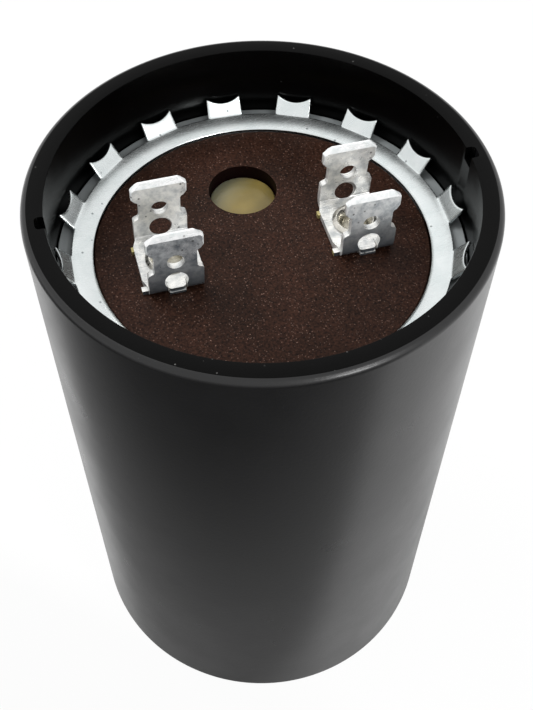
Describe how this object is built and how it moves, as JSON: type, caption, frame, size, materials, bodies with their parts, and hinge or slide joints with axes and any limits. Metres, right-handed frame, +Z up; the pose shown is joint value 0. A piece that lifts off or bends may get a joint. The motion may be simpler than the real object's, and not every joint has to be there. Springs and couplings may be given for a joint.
{
  "type": "motor start capacitor",
  "caption": "Round motor start capacitor: a moulded cup with a header, toothed retaining ring, vent and double push-on terminals set down in its open mouth.",
  "frame": {"origin": "centre of the case's flat base", "axes": "+Z up through the open mouth, X through both terminals, vent on the +Y side"},
  "size_m": [0.0524, 0.0524, 0.084],
  "materials": {
    "case": "satin black moulded phenolic",
    "header": "brown moulded phenolic with pale flecks",
    "vent_diaphragm": "translucent amber rubber",
    "gasket": "smooth grey rubber",
    "retaining_ring": "bright zinc plate",
    "terminal": "tinned brass sheet",
    "rivet": "tinned brass",
    "lead": "soft aluminium strip",
    "winding": "foil and paper turns, edge on",
    "paper": "brown kraft paper",
    "pressboard": "grey brown pressboard"
  },
  "bodies": {
    "root": {"case": "case", "header": "header", "vent_diaphragm": "vent_diaphragm", "gasket": "gasket", "retaining_ring": "retaining_ring", "terminal_left": "terminal", "terminal_right": "terminal", "rivet_left": "rivet", "rivet_right": "rivet", "rivet_washer_left": "rivet", "rivet_washer_right": "rivet", "lead_left": "lead", "lead_right": "lead", "winding": "winding", "winding_wrap": "paper", "bottom_insulator": "pressboard", "top_insulator": "pressboard"}
  },
  "joints": []
}
